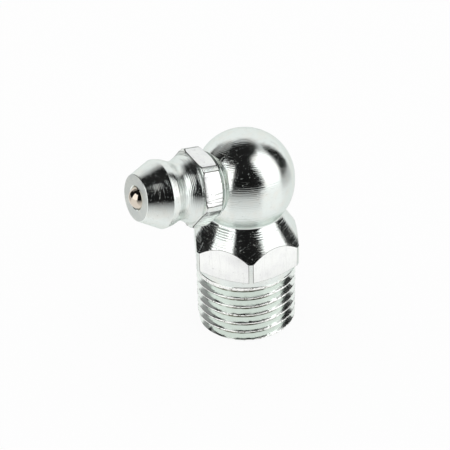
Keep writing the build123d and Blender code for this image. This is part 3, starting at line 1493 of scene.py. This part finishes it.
@dataclass
class ValveSpring:
    """The spring wound from round wire, between the rolled-in rim and the ball's back.

    Sizes are in millimetres.
    """

    radius: float = 0.95  # to the middle of the wire
    wire_radius: float = 0.16
    turns: int = 8
    clearance: float = 0.05  # at each end
    travel: float = 0.8  # of the ball
    wire_sides: int = 12
    steps: int = 32  # in one turn
    smooth_angle: float = 40.0

    def ends(self, head: CouplerHead) -> tuple[float, float]:
        """Work out where the wire starts and ends.

        Args:
            head: The head that holds the spring.

        Returns:
            Stations of the wire's middle, at the rim and at the ball.
        """
        start = head.spigot_end + head.rolled_lip + self.wire_radius + self.clearance
        reach = head.ball_radius + self.wire_radius + self.clearance
        return start, head.stations()["ball"] - sqrt(reach**2 - self.radius**2)

    def build(self, place: Matrix, head: CouplerHead) -> bpy.types.Object:
        """Wind the wire, close its two ends, and put the spring on the head's axis.

        Args:
            place: From the head's own frame to the part's frame.
            head: The head that holds the spring.

        Returns:
            The spring.
        """
        start, end = self.ends(head)
        deselect_all()
        bpy.ops.mesh.primitive_circle_add(vertices=self.wire_sides, radius=self.wire_radius * MM)
        spring = bpy.context.object
        spring.name = "valve_spring_wire"
        spring.data.transform(Matrix.Rotation(pi / 2, 4, "X"))
        spring.data.transform(Matrix.Translation((-self.radius * MM, 0, start * MM)))
        bpy.ops.object.modifier_add(type="SCREW")
        winding = spring.modifiers["Screw"]
        winding.iterations = self.turns
        winding.steps = winding.render_steps = self.steps
        winding.screw_offset = (end - start) / self.turns * MM
        bpy.ops.object.modifier_apply(modifier=winding.name)
        edit(spring)
        bpy.ops.mesh.select_all(action="SELECT")
        bpy.ops.mesh.fill_holes(sides=0)
        bpy.ops.mesh.select_all(action="SELECT")
        bpy.ops.mesh.normals_make_consistent(inside=False)
        leave_edit()
        finish_shading(spring, self.smooth_angle)
        spring.data.transform(place)
        return spring

    def press(self, spring: bpy.types.Object, place: Matrix) -> None:
        """Give the spring a mesh of its own.

        Args:
            spring: The spring, in its place.
            place: Not used.
        """
        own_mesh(spring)


# --------------------------------------------------------------------------- studio


@dataclass(frozen=True)
class Viewpoint:
    """The camera: its place in millimetres, its direction in degrees, and its lens."""

    place: tuple = (-53.953, -82.964, 71.048)
    azimuth: float = 31.88  # of its view, from +Y towards +X
    elevation: float = 31.40  # of the camera above the part
    roll: float = -1.41
    lens: float = 94.005
    sensor_width: float = 36.0
    nearest: float = 5.0
    farthest: float = 10000.0

    def build(self) -> None:
        """Make the camera and use it."""
        turn, lift, roll = radians(self.azimuth), radians(self.elevation), radians(self.roll)
        look = Vector((sin(turn) * cos(lift), cos(turn) * cos(lift), -sin(lift)))
        level = Vector((cos(turn), -sin(turn), 0))
        upright = Vector((sin(turn) * sin(lift), cos(turn) * sin(lift), cos(lift)))
        right = level * cos(roll) + upright * sin(roll)
        up = upright * cos(roll) - level * sin(roll)
        data = bpy.data.cameras.new("camera")
        data.lens = self.lens
        data.sensor_width = self.sensor_width
        data.clip_start, data.clip_end = self.nearest * MM, self.farthest * MM
        camera = bpy.data.objects.new("camera", data)
        bpy.context.scene.collection.objects.link(camera)
        pose = Matrix((right, up, -look)).transposed().to_4x4()
        pose.translation = Vector(self.place) * MM
        camera.matrix_world = pose
        bpy.context.scene.camera = camera


FRONT = -123.0  # direction of the front of the studio, in degrees about Z


@dataclass(frozen=True)
class Panel:
    """A lamp panel or a black cloth, as four corners seen from the part.

    A corner is (degrees from the front, to the right, and degrees up). The corners go round from
    the lower left one, by the lower right one.
    """

    name: str
    corners: tuple
    radiance: float
    distance: float = 0.55  # metres
    divisions: int = 16


PANELS = (
    Panel("right_lamp", ((48, 0), (88, 0), (104, 66), (31, 66)), 1.5),
    Panel("left_lamp", ((-79, 0), (-28, 0), (-29, 45), (-74, 47)), 1.5),
    Panel("front_cloth", ((-32, -1), (48, -1), (34, 80), (-34, 80)), 0.006, 0.60),
    Panel("right_cloth", ((89, -1), (126, -1), (133, 52), (106, 52)), 0.012, 0.57),
    Panel("left_cloth", ((-128, -1), (-78, -1), (-76, 30), (-128, 28)), 0.012, 0.57),
    Panel("left_upper_cloth", ((-112, 27), (-76, 27), (-74, 50), (-112, 50)), 0.012, 0.565),
    Panel("left_grey_cloth", ((-138, 27), (-111, 27), (-111, 62), (-140, 62)), 0.30, 0.56),
    Panel("left_roof_cloth", ((-145, 48), (-26, 46), (-26, 78), (-150, 78)), 0.010, 0.58),
)


@dataclass(frozen=True)
class Studio:
    """Floor, plain white to the camera and painted with light and shade to reflections, pale surround, roof,
    lamp panels and black cloths.

    Sizes are in metres, angles in degrees, and the rest is how bright a thing looks in the part's
    surfaces, where 1 is white.
    """

    floor_size: float = 6.0
    # How bright the floor looks in the part's surfaces: painted light and shade, not lamps.
    floor_pale: float = 1.08
    floor_back: float = 0.97
    floor_front: float = 0.02
    floor_side: float = 0.52
    floor_grey: float = 0.92  # colour of the paper, which takes the shadow
    floor_glow: float = 0.85  # share of its own light in what the paper shows
    floor_glow_to_camera: float = 0.90
    shadow_reach: tuple = (0.008, 0.02)  # close round the part, the floor is as at the back: a painted shadow of the part
    roof_height: float = 0.75
    roof_dark: float = 0.012
    roof_pale: float = 0.92
    roof_dark_elevation: float = 68.0
    roof_pale_elevation: float = 50.0
    surround: float = 0.95  # its strength for light that isn't seen or mirrored

    def direction(self, sideways: float, up: float) -> Vector:
        """Unit vector towards a place in the studio, in degrees from the front and up."""
        angle, lift = radians(FRONT + sideways), radians(up)
        return Vector((cos(angle) * cos(lift), sin(angle) * cos(lift), sin(lift)))

    def hide_from_all_but_reflections(self, panel: bpy.types.Object) -> None:
        """Let only reflections see a panel.

        Args:
            panel: The lamp panel, cloth or roof.
        """
        panel.visible_camera = False
        panel.visible_diffuse = False
        panel.visible_transmission = False
        panel.visible_volume_scatter = False
        panel.visible_shadow = False

    def build_panel(self, panel: Panel) -> None:
        """Make one panel from a grid bent round the part.

        Args:
            panel: The panel's shape and brightness.
        """
        deselect_all()
        bpy.ops.mesh.primitive_grid_add(
            x_subdivisions=panel.divisions, y_subdivisions=panel.divisions, size=1
        )
        made = bpy.context.object
        made.name = panel.name
        low_left, low_right, high_right, high_left = (Vector(c) for c in panel.corners)
        for vertex in made.data.vertices:
            across, up = vertex.co.x + 0.5, vertex.co.y + 0.5
            seen = low_left.lerp(low_right, across).lerp(high_left.lerp(high_right, across), up)
            vertex.co = self.direction(*seen) * panel.distance
        sheet = NodeSheet(panel.name)
        light = sheet.add("Emission", Color=WHITE, Strength=panel.radiance)
        made.data.materials.append(sheet.finish(light.outputs[0]))
        self.hide_from_all_but_reflections(made)

    def build_roof(self) -> None:
        """Make the round roof, black in its middle and pale at its rim."""
        deselect_all()
        outer = self.roof_height / tan(radians(self.roof_pale_elevation))
        inner = self.roof_height / tan(radians(self.roof_dark_elevation))
        bpy.ops.mesh.primitive_circle_add(
            vertices=96, radius=outer, fill_type="NGON", location=(0, 0, self.roof_height)
        )
        roof = bpy.context.object
        roof.name = "roof"
        bpy.ops.object.transform_apply(location=True)
        sheet = NodeSheet("roof")
        out = sheet.from_axis(sheet.add("TexCoord").outputs["Object"])
        strength = sheet.ramp(out, inner, outer, self.roof_dark, self.roof_pale)
        light = sheet.add("Emission", Color=WHITE, Strength=strength)
        roof.data.materials.append(sheet.finish(light.outputs[0]))
        self.hide_from_all_but_reflections(roof)

    def build_floor(self) -> None:
        """Make the floor: white to the camera, and painted with light and shade, darker in places, to
        reflections.
        """
        deselect_all()
        bpy.ops.mesh.primitive_plane_add(size=self.floor_size)
        floor = bpy.context.object
        floor.name = "floor"
        sheet = NodeSheet("floor_paper")
        to_camera = sheet.add("LightPath").outputs["Is Camera Ray"]
        seen = sheet.blend(to_camera, self.floor_brightness(sheet), 1.0)
        glow_share = sheet.blend(to_camera, self.floor_glow, self.floor_glow_to_camera)
        paper = sheet.add("BsdfDiffuse", Color=(*(self.floor_grey,) * 3, 1.0))
        glow = sheet.add("Emission", Color=WHITE, Strength=seen)
        mixed = sheet.add("MixShader")
        sheet.feed_all(mixed, (glow_share, paper.outputs[0], glow.outputs[0]))
        floor.data.materials.append(sheet.finish(mixed.outputs[0]))

    def floor_brightness(self, sheet: NodeSheet) -> Socket:
        """Work out the light and shade painted on the floor as the part mirrors it, from each place's
        direction and distance.

        Args:
            sheet: The floor's material.

        Returns:
            The brightness.
        """
        place = sheet.add("TexCoord").outputs["Object"]
        forward = sheet.vector_math("DOT_PRODUCT", place, self.direction(0, 0))
        sideways = sheet.vector_math("DOT_PRODUCT", place, self.direction(90, 0))
        far = sheet.vector_math("LENGTH", place)
        turn = sheet.math("ABSOLUTE", sheet.math("ARCTAN2", sideways, forward))
        # Painted light and shade: it is pale beside the part and behind it, where the lamps light it, a
        # little darker close round the part as its painted shadow, and darker with distance towards the
        # front, as a painted shadow of the camera.
        pale = sheet.ramp(turn, radians(80), radians(100), self.floor_pale, self.floor_back)
        near = sheet.ramp(far, *self.shadow_reach, 1.0, 0.0)
        fall = sheet.math("DIVIDE", far, sheet.math("ADD", far, 0.03))
        front = sheet.ramp(fall, 0.31, 0.95, self.floor_back, self.floor_front)
        in_front = sheet.ramp(turn, radians(28), radians(42), 1.0, 0.0)
        # Further out to each side, the floor is painted darker.
        beside = sheet.math(
            "MULTIPLY",
            sheet.ramp(turn, radians(82), radians(92)),
            sheet.ramp(turn, radians(118), radians(130), 1.0, 0.0),
        )
        beside = sheet.math("MULTIPLY", beside, sheet.ramp(far, 0.03, 0.07))
        reflected = sheet.blend(near, pale, self.floor_back)
        reflected = sheet.blend(in_front, reflected, front)
        return sheet.blend(beside, reflected, self.floor_side)

    def build_surround(self) -> None:
        """Make the surround: white to the camera and in what mirrors or lets through light."""
        world = bpy.data.worlds.new("surround")
        bpy.context.scene.world = world
        world.use_nodes = True
        tree = world.node_tree
        background = tree.nodes["Background"]
        background.inputs["Color"].default_value = WHITE
        paths = tree.nodes.new("ShaderNodeLightPath")
        seen = paths.outputs["Is Camera Ray"]
        for ray in ("Is Glossy Ray", "Is Transmission Ray"):
            either = tree.nodes.new("ShaderNodeMath")
            either.operation = "MAXIMUM"
            tree.links.new(seen, either.inputs[0])
            tree.links.new(paths.outputs[ray], either.inputs[1])
            seen = either.outputs[0]
        strength = tree.nodes.new("ShaderNodeMath")
        strength.operation = "MULTIPLY_ADD"
        strength.inputs[1].default_value = 1 - self.surround
        strength.inputs[2].default_value = self.surround
        tree.links.new(seen, strength.inputs[0])
        tree.links.new(strength.outputs[0], background.inputs["Strength"])

    def build(self) -> None:
        """Build the whole studio."""
        self.build_floor()
        self.build_surround()
        self.build_roof()
        for panel in PANELS:
            self.build_panel(panel)
        bpy.context.scene.view_settings.view_transform = "Standard"


# --------------------------------------------------------------------------- the whole part


def main() -> None:
    """Build, dress and place every piece."""
    Viewpoint().build()
    Studio().build()
    zinc = zinc_finishes()

    elbow = ElbowBody()
    body = elbow.build()
    dress(body, zinc)
    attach(body, "fitting")
    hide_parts("elbow_body")
    log.info("elbow body: %d faces", len(body.data.polygons))

    coupler = CouplerHead()
    head = coupler.build(elbow.head_matrix())
    dress(head, zinc)
    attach(head, "fitting")
    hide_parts("nipple_head")
    log.info("coupler head: %d faces", len(head.data.polygons))

    ball = CheckBall().build(elbow.head_matrix(), coupler.stations()["ball"])
    dress(ball, [PolishedBall().make()])
    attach(ball, "valve")
    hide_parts("check_ball")
    log.info("check ball: %d faces", len(ball.data.polygons))

    winder = ValveSpring()
    spring = winder.build(elbow.head_matrix(), coupler)
    dress(spring, [SpringWire().make()])
    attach(spring, "fitting")
    winder.press(spring, elbow.head_matrix())
    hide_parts("valve_spring")
    log.info("valve spring: %d faces", len(spring.data.polygons))


if __name__ == "__main__":
    logging.basicConfig(level=logging.INFO)
    main()
